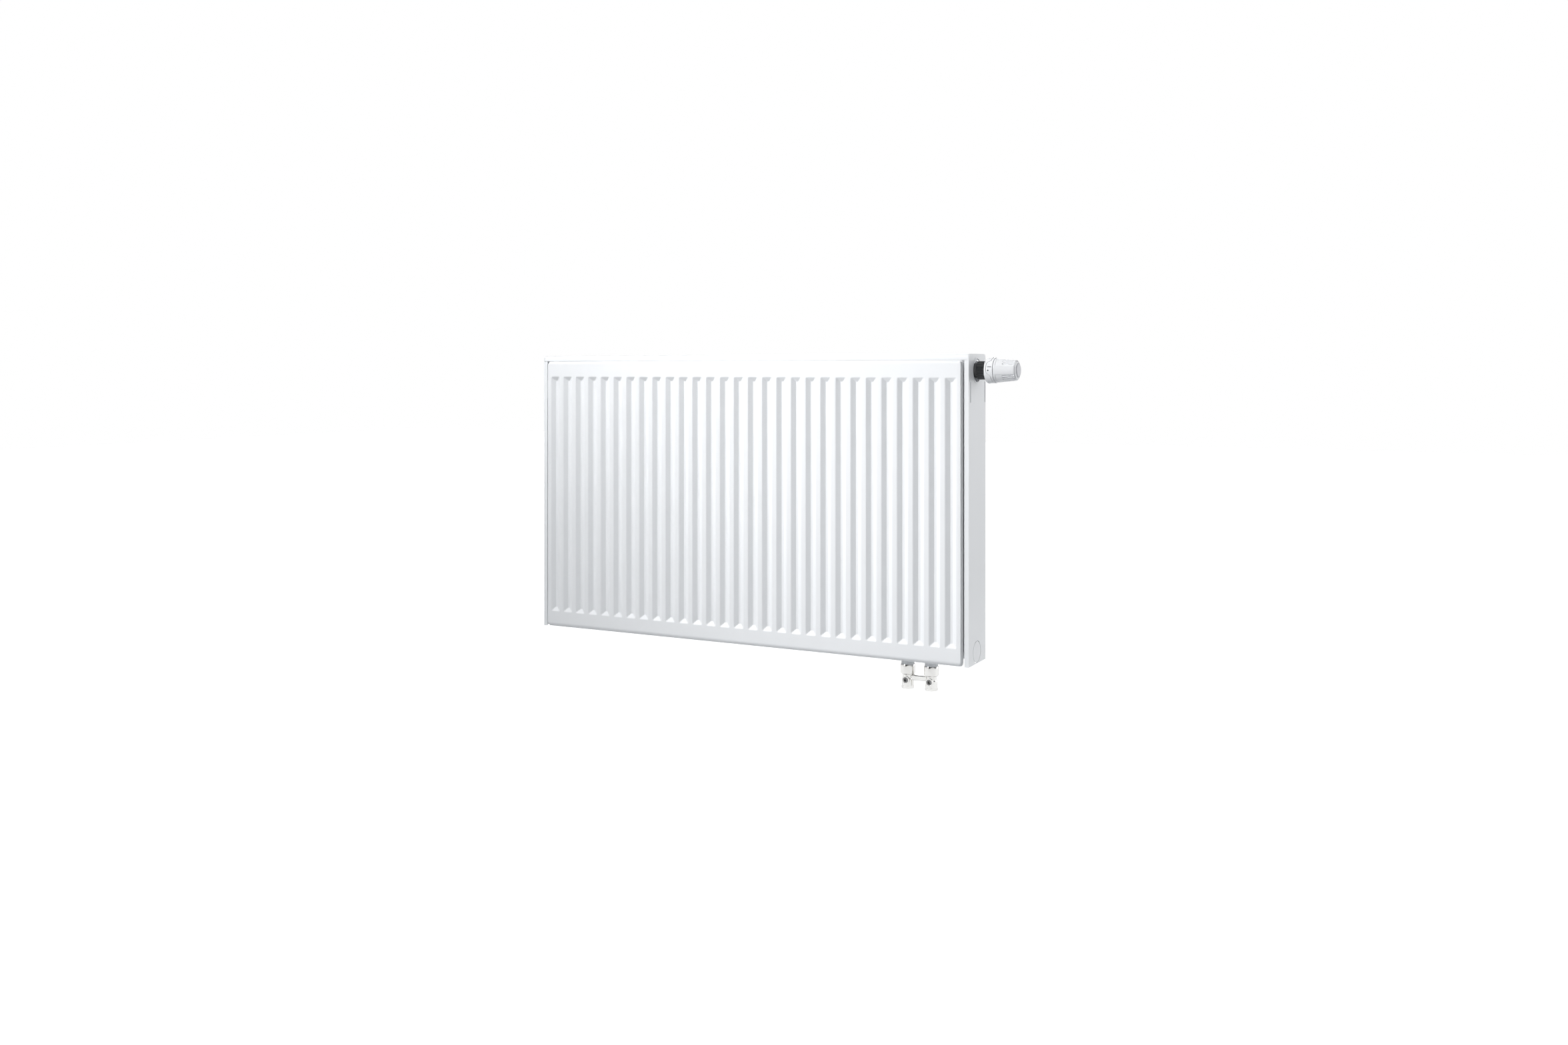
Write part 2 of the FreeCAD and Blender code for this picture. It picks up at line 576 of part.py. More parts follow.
def plugs():
    """Two blank plugs below, an air vent above, and their seals."""
    keep("blank_plug_right", blank_plug(PORT_LOW))
    keep("blank_plug_left", mirror_x(blank_plug(PORT_LOW)))
    keep("blank_plug_seals", seal_ring(PORT_LOW), mirror_x(seal_ring(PORT_LOW)))
    keep("vent_seal", mirror_x(seal_ring(VALVE_Z)))
    face = BOSS_END + SEAL
    shank = BOSS_BORE_R - STEM_FIT
    centre = (MID_Y, VALVE_Z)
    body = turned([(BOSS_END - 10, 0), (BOSS_END - 10, shank), (face, shank), (face, BOSS_R - 0.5),
                   (face + 2.5, BOSS_R - 0.5), (face + 2.5, VENT_R + 2.5), (face + 7, VENT_R + 2.5),
                   (face + 7, 0)], centre, X_AXIS)
    body = body.cut(rod(X_AXIS, VENT_R + STEM_FIT, BOSS_END - 4, face + 8, centre))
    body = body.cut(rod(X_AXIS, 1.5, BOSS_END - 11, BOSS_END, centre))
    keep("vent_plug", mirror_x(body))
    screw = rod(X_AXIS, VENT_R, BOSS_END - 3, face + 7, centre)
    square = prism(X_AXIS, 4, 5, face + 7, face + 12, centre)
    keep("vent_screw", mirror_x(screw.fuse(square)))


# ---------------------------------------------------------------- thermostatic valve
def valve():
    """Screwed-in insert: body, seal, sprung spindle and its disc on the housing's seat."""
    centre = (MID_Y, VALVE_Z)
    inner_end = PORT_X + CROSS_R - 2
    neck = BOSS_END + VALVE_FLANGE
    body = turned([(inner_end, SPRING_R + 1), (inner_end, BOSS_BORE_R - STEM_FIT),
                   (BOSS_END + SEAL, BOSS_BORE_R - STEM_FIT), (BOSS_END + SEAL, BOSS_R - 0.3),
                   (neck, BOSS_R - 0.3), (neck, VALVE_THREAD_R), (NECK_END, VALVE_THREAD_R),
                   (NECK_END, STEM_R + STEM_FIT), (neck - 4, STEM_R + STEM_FIT),
                   (neck - 4, SPRING_R + 1)], centre, X_AXIS)
    keep("valve_insert_body", body)
    keep("valve_insert_seal", tube(X_AXIS, BOSS_R - 0.5, BOSS_BORE_R, BOSS_END, BOSS_END + SEAL, centre))
    disc_face = SEAT_X + SEAT_GAP
    plate = disc_face + DISC_THICK
    stem_end = NECK_END + STEM_PROUD
    spindle = turned([(plate, 0), (plate, SPRING_R - 0.5), (plate + 2, SPRING_R - 0.5),
                      (plate + 2, STEM_R), (stem_end, STEM_R), (stem_end, 0)], centre, X_AXIS)
    keep("valve_spindle", spindle)
    keep("valve_disc", rod(X_AXIS, VALVE_SEAT_R + 1.5, disc_face, plate, centre))
    keep("valve_spring", coil(SPRING_R - 1.2, 0.6, plate + 2, neck - 4, 6, centre))
    return stem_end


# ---------------------------------------------------------------- thermostatic head
def head(stem_end):
    centre = (MID_Y, VALVE_Z)
    nut_end = RIGHT + NUT_START + NUT_LENGTH
    lip = NECK_END + HEAD_FLANGE + 0.2
    nut = turned([(RIGHT + NUT_START, VALVE_THREAD_R), (RIGHT + NUT_START, NUT_R - 0.8),
                  (RIGHT + NUT_START + 0.8, NUT_R), (nut_end - 0.8, NUT_R), (nut_end, NUT_R - 0.8),
                  (nut_end, HEAD_SPIGOT_R + STEM_FIT), (lip, HEAD_SPIGOT_R + STEM_FIT),
                  (lip, VALVE_THREAD_R)], centre, X_AXIS)
    grooves = []
    for i in range(KNURLS):
        turn = 2 * math.pi * i / KNURLS
        grooves.append(rod(X_AXIS, 0.9, RIGHT + NUT_START - 1, nut_end + 1,
                           (MID_Y + NUT_R * math.cos(turn), VALVE_Z + NUT_R * math.sin(turn))))
    keep("head_union_nut", nut.cut(Part.makeCompound(grooves)))
    collar_end = nut_end + HEAD_COLLAR_LENGTH
    floor = nut_end + 2.5
    mouth_r = HEAD_COLLAR_R - HEAD_COLLAR_WALL
    base = turned([(NECK_END, STEM_R + STEM_FIT), (NECK_END, VALVE_THREAD_R - 0.3),
                   (NECK_END + HEAD_FLANGE, VALVE_THREAD_R - 0.3), (NECK_END + HEAD_FLANGE, HEAD_SPIGOT_R),
                   (nut_end, HEAD_SPIGOT_R), (nut_end, HEAD_COLLAR_R - 3), (nut_end + 3, HEAD_COLLAR_R),
                   (collar_end, HEAD_COLLAR_R), (collar_end, mouth_r), (floor, mouth_r),
                   (floor, SLEEVE_R + SLEEVE_WALL),
                   (collar_end - 2, SLEEVE_R + SLEEVE_WALL), (collar_end - 2, SLEEVE_R),
                   (floor, SLEEVE_R), (floor, STEM_R + STEM_FIT)], centre, X_AXIS)
    keep("head_base", base)
    pin_end = stem_end + PIN_LENGTH
    keep("head_push_pin", turned([(stem_end, 0), (stem_end, STEM_R), (pin_end - PIN_HEAD, STEM_R),
                                  (pin_end - PIN_HEAD, SENSOR_R - 6), (pin_end, SENSOR_R - 6), (pin_end, 0)],
                                 centre, X_AXIS))
    sensor_end = pin_end + 0.2 + SENSOR_LENGTH
    cup = turned([(pin_end + 0.2, 0), (pin_end + 0.2, SENSOR_R), (sensor_end, SENSOR_R),
                  (sensor_end, SENSOR_R - 1.5), (pin_end + 12, SENSOR_R - 1.5), (pin_end + 12, 0)],
                 centre, X_AXIS)
    keep("head_sensor", cup)
    keep("overtravel_spring", coil(SENSOR_R - 4, 0.8, pin_end + 12, sensor_end - 1.5, 4, centre))
    keep("sensor_retainer", tube(X_AXIS, SENSOR_R - 1.5, 4, sensor_end - 1.5, sensor_end, centre))
    web = sensor_end + TURN_FIT
    cap_start = collar_end - HEAD_CAP_HIDDEN
    cap_end = collar_end + HEAD_CAP_LENGTH
    cap_r = mouth_r - TURN_FIT
    taper_end = cap_end - CAP_END_RADIUS
    shell = turned([(cap_start, CAP_BORE_R), (cap_start, cap_r), (collar_end + 2, cap_r),
                    (taper_end, HEAD_CAP_END_R), (cap_end - 3, HEAD_CAP_END_R - 1.4),
                    (cap_end - 2, HEAD_CAP_END_R - 2.6), (cap_end - 2, END_DISC_R),
                    (cap_end - 4, END_DISC_R), (cap_end - 4, CAP_BORE_R), (web + CAP_WEB, CAP_BORE_R),
                    (web + CAP_WEB, STEM_R), (web, STEM_R), (web, CAP_BORE_R)], centre, X_AXIS)
    slots = []
    for field in range(GRIP_FIELDS):
        for i in (-1, 0, 1):
            turn = GRIP_TURN + 360 * field / GRIP_FIELDS + i * GRIP_STEP
            slot = box(collar_end + GRIP_START, -1.1, CAP_BORE_R + HEAD_CAP_WALL,
                       cap_end - 4.5, 1.1, cap_r + 2)
            slot.rotate(V(0, 0, 0), X_AXIS, turn)
            slot.translate(V(0, MID_Y, VALVE_Z))
            slots.append(slot)
    keep("head_cap", shell.cut(Part.makeCompound(slots)))
    keep("head_cap_disc", turned([(cap_end - 4, 0), (cap_end - 4, END_DISC_R - 0.05),
                                  (cap_end - 1, END_DISC_R - 0.05), (cap_end, END_DISC_R - 1.5),
                                  (cap_end, 0)], centre, X_AXIS))


# ---------------------------------------------------------------- lower connection block
def connection_block():
    """Straight twin block: union nuts, body with a bridge, and two quarter-turn shut-off plugs."""
    nuts = []
    gaskets = []
    nut_low = -NIPPLE_DROP - GASKET - BLOCK_FLANGE - BLOCK_NUT_LIP
    nut_high = nut_low + BLOCK_NUT_LENGTH
    neck_top = -NIPPLE_DROP - GASKET
    body_top = nut_low - BLOCK_NECK
    body_low = body_top - BLOCK_BODY_LENGTH
    halves = []
    for x in (FLOW_X, RETURN_X):
        centre = (x, MID_Y)
        nut = prism(Z_AXIS, 6, BLOCK_NUT_FLATS, nut_low, nut_high, centre)
        round_r = BLOCK_NUT_FLATS / 2 + 0.7
        barrel = turned([(nut_low, 0), (nut_low, NIPPLE_R - 0.4), (nut_low + 2.2, round_r),
                         (nut_high - 4, round_r), (nut_high, NIPPLE_R + 0.9), (nut_high, 0)],
                        centre, Z_AXIS)
        bore = turned([(nut_low - 1, 0), (nut_low - 1, BLOCK_NECK_R + STEM_FIT),
                       (nut_low + BLOCK_NUT_LIP, BLOCK_NECK_R + STEM_FIT),
                       (nut_low + BLOCK_NUT_LIP, NIPPLE_R), (nut_high - 1.5, NIPPLE_R),
                       (nut_high - 0.7, NIPPLE_R + 0.6), (nut_high + 1, NIPPLE_R + 0.6),
                       (nut_high + 1, 0)], centre, Z_AXIS)
        nuts.append(nut.common(barrel).cut(bore))
        gaskets.append(tube(Z_AXIS, NIPPLE_R - 1, NIPPLE_BORE_R, neck_top, -NIPPLE_DROP, centre))
        foot_top = body_low + BLOCK_FOOT_HEIGHT
        foot = prism(Z_AXIS, 8, BLOCK_FOOT_FLATS, body_low, foot_top, centre)
        outline = turned([(foot_top, 0), (foot_top, BLOCK_BODY_R), (body_top - 3, BLOCK_BODY_R),
                          (body_top, BLOCK_NECK_R), (neck_top - BLOCK_FLANGE, BLOCK_NECK_R),
                          (neck_top - BLOCK_FLANGE, NIPPLE_R - 1), (neck_top, NIPPLE_R - 1),
                          (neck_top, 0)], centre, Z_AXIS)
        halves.append(outline)
        halves.append(foot)
    bridge_top = nut_low - BRIDGE_GAP
    bridge = box(FLOW_X, MID_Y - BRIDGE_DEPTH / 2, bridge_top - BRIDGE_HEIGHT,
                 RETURN_X, MID_Y + BRIDGE_DEPTH / 2, bridge_top)
    edges = [e for e in bridge.Edges if abs(e.tangentAt(e.FirstParameter).x) > 0.9]
    bridge = bridge.makeFillet(2.5, edges)
    body = bridge.multiFuse(halves)
    plug_z = body_low + BLOCK_PORT_LENGTH + PLUG_R + 1.2
    plug_face = MID_Y - BLOCK_BODY_R - PLUG_BOSS_PROUD
    for x in (FLOW_X, RETURN_X):
        centre = (x, MID_Y)
        boss = rod(Y_AXIS, PLUG_R + PLUG_BOSS_WALL, plug_face, MID_Y, (x, plug_z))
        body = body.fuse(boss)
        body = body.cut(rod(Z_AXIS, BLOCK_BORE_R, body_low - 1, neck_top + 1, centre))
        body = body.cut(rod(Z_AXIS, BLOCK_PORT_R, body_low - 1, body_low + BLOCK_PORT_LENGTH, centre))
        body = body.cut(rod(Y_AXIS, PLUG_R + STEM_FIT, plug_face - 1, MID_Y + PLUG_R + 2, (x, plug_z)))
    keep("block_union_nuts", *nuts)
    keep("block_gaskets", *gaskets)
    keep("block_body", body)
    for name, x in (("flow_shut_off_plug", FLOW_X), ("return_shut_off_plug", RETURN_X)):
        plug = rod(Y_AXIS, PLUG_R, plug_face + 0.4, MID_Y + PLUG_R + 1.8, (x, plug_z))
        plug = plug.cut(rod(Z_AXIS, BLOCK_BORE_R - 1, plug_z - BIG, plug_z + BIG, (x, MID_Y)))
        keep(name, plug.cut(prism(Y_AXIS, 6, PLUG_SOCKET_FLATS, plug_face, plug_face + PLUG_SOCKET_DEPTH,
                                  (x, plug_z))))


water_panels()
convectors()
top_grille()
side_covers()
hanging_lugs()
connections()
plugs()
head(valve())
connection_block()
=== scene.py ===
import math

import bmesh
import bpy
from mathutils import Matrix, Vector


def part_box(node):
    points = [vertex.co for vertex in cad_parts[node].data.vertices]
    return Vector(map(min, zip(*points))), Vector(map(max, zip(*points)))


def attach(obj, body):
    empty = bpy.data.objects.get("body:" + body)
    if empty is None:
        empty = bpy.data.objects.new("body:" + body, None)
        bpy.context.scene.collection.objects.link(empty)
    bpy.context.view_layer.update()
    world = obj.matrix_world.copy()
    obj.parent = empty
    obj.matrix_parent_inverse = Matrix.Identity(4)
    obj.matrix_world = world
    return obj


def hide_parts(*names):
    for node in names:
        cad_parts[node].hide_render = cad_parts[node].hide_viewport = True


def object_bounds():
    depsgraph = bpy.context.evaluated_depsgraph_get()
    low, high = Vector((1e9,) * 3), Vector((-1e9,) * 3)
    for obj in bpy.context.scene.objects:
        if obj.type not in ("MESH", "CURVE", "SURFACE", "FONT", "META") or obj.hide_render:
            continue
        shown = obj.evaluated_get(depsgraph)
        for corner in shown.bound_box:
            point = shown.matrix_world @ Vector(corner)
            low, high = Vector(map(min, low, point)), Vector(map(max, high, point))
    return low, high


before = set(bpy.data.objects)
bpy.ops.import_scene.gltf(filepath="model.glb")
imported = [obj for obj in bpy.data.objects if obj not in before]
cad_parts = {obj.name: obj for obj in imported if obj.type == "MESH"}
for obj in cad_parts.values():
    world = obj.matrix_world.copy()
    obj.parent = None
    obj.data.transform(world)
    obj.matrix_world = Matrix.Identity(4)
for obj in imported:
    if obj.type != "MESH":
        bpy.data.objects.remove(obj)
cad_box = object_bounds()
MM = 0.001

# ------------------------------------------------------------------ water panels
# The two radiator panels are each welded from two pressed steel sheets, 1.2 mm thick.  The outer
# sheets carry upright flutes between a lower and an upper header; their edges turn back to a
# narrow welded rim.  Everything is dipped, primed and stoved with white enamel.

FLUTE_PITCH = 100 / 3 * MM
FLUTE_COUNT = 29
FLUTE_MOUTH = 23.0 * MM
FLUTE_FLOOR = 5.0 * MM
FLUTE_DEPTH = 6.0 * MM
FLUTE_END_RUN = 8.5 * MM
FLUTE_CORNER = 3.0 * MM     # in plan, at the mouth; 2 mm less at the floor
MOUTH_BEND = 4.2 * MM
FLOOR_BEND = 2.6 * MM
HEADER_LOW = 34.0 * MM      # from the sheet's rim, so 2 mm more than from its wall
HEADER_HIGH = 33.5 * MM
SEAM_RIM = 2.0 * MM
SHEET = 1.2 * MM
FACE_CORNER = 4.5 * MM
BEND_SIDE, BEND_LOW, BEND_HIGH = 1.4 * MM, 7.5 * MM, 4.0 * MM   # bend round the face, seen flat on
CORNER_STEPS = 4            # mesh steps round each corner of a flute
CELL_END = 5 * MM           # strip of face meshed with the flutes, past their ends


def new_group(name, inputs, outputs):
    """Empty shader node group; inputs are (name, kind, default), outputs are (name, kind)."""
    group = bpy.data.node_groups.new(name, "ShaderNodeTree")
    for label, kind, value in inputs:
        socket = group.interface.new_socket(label, in_out="INPUT", socket_type="NodeSocket" + kind)
        socket.default_value = value
    for label, kind in outputs:
        group.interface.new_socket(label, in_out="OUTPUT", socket_type="NodeSocket" + kind)
    return group, group.nodes.new("NodeGroupInput"), group.nodes.new("NodeGroupOutput")


def add_node(tree, kind, **settings):
    """A node with its properties and its sockets' values set by name; socket names start a capital."""
    node = tree.nodes.new("ShaderNode" + kind)
    for key, value in settings.items():
        if key[0].isupper():
            node.inputs[key.replace("_", " ")].default_value = value
        else:
            setattr(node, key, value)
    return node


def sprayed_surface():
    """Sprayed coat: colour that drifts a little over a large scale, and a fine orange-peel height."""
    group, given, out = new_group(
        "sprayed_surface",
        [("Colour", "Color", (0.8, 0.8, 0.8, 1)), ("Drift", "Float", 0.02), ("Peel Size", "Float", 400.0),
         ("Roughness", "Float", 0.3), ("Roughness Spread", "Float", 0.05)],
        [("Colour", "Color"), ("Roughness", "Float"), ("Height", "Float")])
    link = group.links.new
    place = add_node(group, "TexCoord")
    cloud = add_node(group, "TexNoise", Scale=5.0, Detail=3.0, Roughness=0.55)
    link(place.outputs["Object"], cloud.inputs["Vector"])
    centred = add_node(group, "Math", operation="SUBTRACT")
    centred.inputs[1].default_value = 0.5
    link(cloud.outputs["Fac"], centred.inputs[0])
    amount = add_node(group, "Math", operation="MULTIPLY_ADD")
    amount.inputs[2].default_value = 1.0
    link(centred.outputs[0], amount.inputs[0])
    link(given.outputs["Drift"], amount.inputs[1])
    tint = add_node(group, "HueSaturation")
    link(given.outputs["Colour"], tint.inputs["Color"])
    link(amount.outputs[0], tint.inputs["Value"])
    link(tint.outputs["Color"], out.inputs["Colour"])
    peel = add_node(group, "TexNoise", Detail=2.0, Roughness=0.5)
    link(place.outputs["Object"], peel.inputs["Vector"])
    link(given.outputs["Peel Size"], peel.inputs["Scale"])
    link(peel.outputs["Fac"], out.inputs["Height"])
    sheen = add_node(group, "Math", operation="MULTIPLY_ADD")
    link(centred.outputs[0], sheen.inputs[0])
    link(given.outputs["Roughness Spread"], sheen.inputs[1])
    link(given.outputs["Roughness"], sheen.inputs[2])
    link(sheen.outputs[0], out.inputs["Roughness"])
    return group


SPRAYED = sprayed_surface()


def new_material(name):
    material = bpy.data.materials.new(name)
    material.use_nodes = True
    return material, material.node_tree, material.node_tree.nodes["Principled BSDF"]


def place_group(tree, group, **values):
    node = tree.nodes.new("ShaderNodeGroup")
    node.node_tree = group
    for key, value in values.items():
        node.inputs[key.replace("_", " ")].default_value = value
    return node


def raise_by(tree, height, shader, strength, distance):
    """Feeds a height through a Bump node into the shader's normal."""
    bump = add_node(tree, "Bump", Strength=strength, Distance=distance)
    tree.links.new(height, bump.inputs["Height"])
    tree.links.new(bump.outputs["Normal"], shader.inputs["Normal"])


def white_enamel():
    material, tree, shader = new_material("white_enamel")
    coat = place_group(tree, SPRAYED, Colour=(0.84, 0.855, 0.875, 1), Drift=0.03, Peel_Size=420.0,
                       Roughness=0.34, Roughness_Spread=0.08)
    tree.links.new(coat.outputs["Colour"], shader.inputs["Base Color"])
    tree.links.new(coat.outputs["Roughness"], shader.inputs["Roughness"])
    shader.inputs["Coat Weight"].default_value = 0.25
    shader.inputs["Coat Roughness"].default_value = 0.12
    raise_by(tree, coat.outputs["Height"], shader, 0.12, 0.0002)
    return material


ENAMEL = white_enamel()


def finish_piece(mesh_name, bm, material, body, stands_for=()):
    """Turns a bmesh into an object that rides on its body and stands for CAD nodes."""
    mesh = bpy.data.meshes.new(mesh_name)
    bmesh.ops.recalc_face_normals(bm, faces=bm.faces)
    bm.to_mesh(mesh)
    bm.free()
    piece = bpy.data.objects.new(mesh_name, mesh)
    bpy.context.scene.collection.objects.link(piece)
    mesh.materials.append(material)
    for polygon in mesh.polygons:
        polygon.use_smooth = True
    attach(piece, body)
    if stands_for:
        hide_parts(*stands_for)
    return piece


def soften(piece, width, segments=2, angle=32):
    """Small rounded edges, with the flats kept flat in the shading."""
    weld = piece.modifiers.new("weld", "WELD")
    weld.merge_threshold = 0.00001
    bevel = piece.modifiers.new("edges", "BEVEL")
    bevel.width = width
    bevel.segments = segments
    bevel.limit_method = "ANGLE"
    bevel.angle_limit = math.radians(angle)
    bevel.use_clamp_overlap = True
    flats = piece.modifiers.new("flats", "WEIGHTED_NORMAL")
    flats.keep_sharp = True


def cad_finish(node, material, width=0.0):
    """Keeps a CAD node's shape, gives it a material and breaks its sharp edges."""
    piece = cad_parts[node]
    piece.data.materials.clear()
    piece.data.materials.append(material)
    if width:
        for polygon in piece.data.polygons:
            polygon.use_smooth = True
        soften(piece, width)


def flute_steps():
    """(run in from the mouth's edge, depth) down one flute wall, with both bends rounded."""
    run = (FLUTE_MOUTH - FLUTE_FLOOR) / 2
    slope = math.atan2(FLUTE_DEPTH, run)
    reach = MOUTH_BEND * math.tan(slope / 2)
    steps = []
    for i in range(5):
        turn = slope * i / 4
        steps.append((-reach + MOUTH_BEND * math.sin(turn), MOUTH_BEND * (1 - math.cos(turn))))
    floor_reach = FLOOR_BEND * math.tan(slope / 2)
    for i in range(4, -1, -1):
        turn = slope * i / 4
        steps.append((run + floor_reach - FLOOR_BEND * math.sin(turn),
                      FLUTE_DEPTH - FLOOR_BEND * (1 - math.cos(turn))))
    return steps


def rounded_loop(half_x, low, high, radius, corner_steps):
    """Points of a rounded rectangle, anticlockwise from the lower right corner's start."""
    points = []
    for cx, cz, start in ((half_x - radius, low + radius, -90), (half_x - radius, high - radius, 0),
                          (-half_x + radius, high - radius, 90), (-half_x + radius, low + radius, 180)):
        for i in range(corner_steps + 1):
            turn = math.radians(start + 90 * i / corner_steps)
            points.append((cx + radius * math.cos(turn), cz + radius * math.sin(turn)))
    return points


def cell_loop(loop, centres, half_x, low, high):
    """The flute cell's rectangle, with one point opposite each point of the flute's own loop."""
    points = []
    for i, (x, z) in enumerate(loop):
        corner, step = divmod(i, CORNER_STEPS + 1)
        sx = 1 if corner < 2 else -1
        edge_z = low if corner in (0, 3) else high
        cx, cz = centres[corner]
        if step == CORNER_STEPS // 2:
            points.append((sx * half_x, edge_z))
            continue
        dx, dz = x - cx, z - cz
        to_side = (sx * half_x - cx) / dx if abs(dx) > 1e-9 else 1e9
        to_edge = (edge_z - cz) / dz if abs(dz) > 1e-9 else 1e9
        k = min(to_side if to_side > 0 else 1e9, to_edge if to_edge > 0 else 1e9)
        points.append((cx + dx * k, cz + dz * k))
    return points


def join_loops(bm, outer, inner):
    count = len(outer)
    for i in range(count):
        j = (i + 1) % count
        bm.faces.new((outer[i], outer[j], inner[j], inner[i]))


def outer_sheet(name, node, facing):
    """Fluted outer sheet of a water panel; facing is -1 for the front and 1 for the wall side."""
    low_corner, high_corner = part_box(node)
    face_y = low_corner.y if facing < 0 else high_corner.y
    half = high_corner.x - SEAM_RIM
    low = low_corner.z
    high = high_corner.z
    bm = bmesh.new()

    def point(x, z, depth):
        return bm.verts.new((x, face_y - facing * depth, z))

    steps = flute_steps()
    flute_low = low + HEADER_LOW
    flute_high = high - HEADER_HIGH
    end_scale = FLUTE_END_RUN / ((FLUTE_MOUTH - FLUTE_FLOOR) / 2)
    run = (FLUTE_MOUTH - FLUTE_FLOOR) / 2
    cell_low = flute_low - CELL_END
    cell_high = flute_high + CELL_END
    for k in range(FLUTE_COUNT):
        centre = (k - (FLUTE_COUNT - 1) / 2) * FLUTE_PITCH
        rings = []
        for u, depth in steps:
            radius = FLUTE_CORNER - 2.0 * MM * max(0, u) / run
            loop = rounded_loop(FLUTE_MOUTH / 2 - u, flute_low + u * end_scale,
                                flute_high - u * end_scale, radius, CORNER_STEPS)
            if not rings:
                side = FLUTE_MOUTH / 2 - u - radius
                foot, head = loop[0][1] + radius, loop[2 * CORNER_STEPS + 1][1] - radius
                centres = ((side, foot), (side, head), (-side, head), (-side, foot))
                cell = cell_loop(loop, centres, FLUTE_PITCH / 2, cell_low, cell_high)
                rings.append([point(centre + x, z, 0) for x, z in cell])
            rings.append([point(centre + x, z, depth) for x, z in loop])
        for outer, inner in zip(rings, rings[1:]):
            join_loops(bm, outer, inner)
        bm.faces.new(rings[-1])
    bmesh.ops.remove_doubles(bm, verts=bm.verts, dist=1e-6)
    border = [e for e in bm.edges if e.is_boundary]

    loops = []
    for i in range(8):
        turn = math.radians(90 * i / 7)
        back = 1 - math.sin(turn)
        depth = (FLUTE_DEPTH - 0.6 * MM) * (1 - math.cos(turn))
        outline = rounded_loop(half - BEND_SIDE * back, low + SEAM_RIM + BEND_LOW * back,
                               high - SEAM_RIM - BEND_HIGH * back, FACE_CORNER - BEND_SIDE * back, 8)
        loops.append([point(x, z, depth) for x, z in outline])
    for grow, depth in ((0.25, 0.25), (0.6, 0.0), (2.0, 0.0), (2.0, -1.2), (0.2, -1.2)):
        outline = rounded_loop(half + grow * MM, low + SEAM_RIM - grow * MM,
                               high - SEAM_RIM + grow * MM, FACE_CORNER + grow * MM, 8)
        loops.append([point(x, z, FLUTE_DEPTH - depth * MM) for x, z in outline])
    for outer, inner in zip(loops[1:], loops):
        join_loops(bm, outer, inner)
    face_edges = [bm.edges.get((a, b)) for a, b in zip(loops[0], loops[0][1:] + loops[0][:1])]
    bmesh.ops.triangle_fill(bm, use_beauty=True, use_dissolve=False, edges=border + face_edges)
    back = [point(x, z, FLUTE_DEPTH + SHEET) for x, z in
            rounded_loop(half - 3 * MM, low + 5 * MM, high - 5 * MM, 5 * MM, 8)]
    join_loops(bm, loops[-1], back)
    bm.faces.new(back)
    piece = finish_piece(name, bm, ENAMEL, "radiator", [node])
    flats = piece.modifiers.new("flats", "WEIGHTED_NORMAL")
    flats.weight = 80


outer_sheet("front_panel_face", "front_panel_outer_sheet", -1)
outer_sheet("rear_panel_face", "rear_panel_outer_sheet", 1)

# ------------------------------------------------------------------ inner sheets and convectors
# Each panel's inner sheet is pressed like the outer one.  The convectors are folded from 0.5 mm
# steel strip and spot welded to the inner sheets; all are under the same white enamel.
for node in ("front_panel_inner_sheet", "rear_panel_inner_sheet", "front_convector", "rear_convector"):
    cad_finish(node, ENAMEL)

# ------------------------------------------------------------------ tees, pipes and nipples
# Turned steel tees and the valve housing are welded between the two panels; drawn steel pipes run
# down from them to the two threaded nipples, which a folded steel bracket holds.  White enamel.
for node in ("lower_left_tee", "upper_left_tee", "return_tee", "valve_housing", "riser_pipe",
             "return_pipe", "nipple_bracket", "flow_nipple", "return_nipple"):
    cad_finish(node, ENAMEL, 0.4 * MM)

# ------------------------------------------------------------------ hanging lugs
# Four hooks folded from 3 mm steel strip and welded to the rear panel before it is enamelled.
cad_finish("hanging_lugs", ENAMEL, 0.5 * MM)

# ------------------------------------------------------------------ casing
# The grille and the two side covers are punched and folded from 1 mm steel sheet, enamelled white
# and clipped on; the right-hand cover's valve opening has a raised rim.
for node in ("top_grille", "side_cover_left", "side_cover_right"):
    cad_finish(node, ENAMEL, 0.45 * MM)


# ------------------------------------------------------------------ metal fittings
# Plugs, union nuts and the connection block are turned or forged brass with a bright nickel plate;
# the vent screw is bare brass, the springs and pins are stainless, the sensor is drawn aluminium.
def plated(name, colour, roughness):
    material, tree, shader = new_material(name)
    coat = place_group(tree, SPRAYED, Colour=colour, Drift=0.08, Peel_Size=900.0,
                       Roughness=roughness, Roughness_Spread=0.12)
    tree.links.new(coat.outputs["Colour"], shader.inputs["Base Color"])
    tree.links.new(coat.outputs["Roughness"], shader.inputs["Roughness"])
    shader.inputs["Metallic"].default_value = 1.0
    raise_by(tree, coat.outputs["Height"], shader, 0.05, 0.0001)
    return material


NICKEL = plated("nickel_plate", (0.82, 0.81, 0.79, 1), 0.12)
# A dark grey plate, far darker than the bright nickel, for the valve insert and the two shut-off plugs.
DARK_GREY_PLATE = plated("dark_grey_plate", (0.24, 0.24, 0.24, 1), 0.36)
BRASS = plated("brass", (0.78, 0.60, 0.30, 1), 0.28)
STEEL = plated("stainless_steel", (0.62, 0.62, 0.63, 1), 0.3)
ALUMINIUM = plated("sensor_aluminium", (0.75, 0.75, 0.76, 1), 0.35)
for node in ("blank_plug_right", "blank_plug_left", "vent_plug", "block_union_nuts", "block_body"):
    cad_finish(node, NICKEL, 0.3 * MM)
for node in ("valve_insert_body", "flow_shut_off_plug", "return_shut_off_plug"):
    cad_finish(node, DARK_GREY_PLATE, 0.2 * MM)
cad_finish("vent_screw", BRASS, 0.2 * MM)
for node in ("valve_spindle", "valve_spring", "overtravel_spring", "head_push_pin", "sensor_retainer"):
    cad_finish(node, STEEL)
cad_finish("head_sensor", ALUMINIUM, 0.3 * MM)


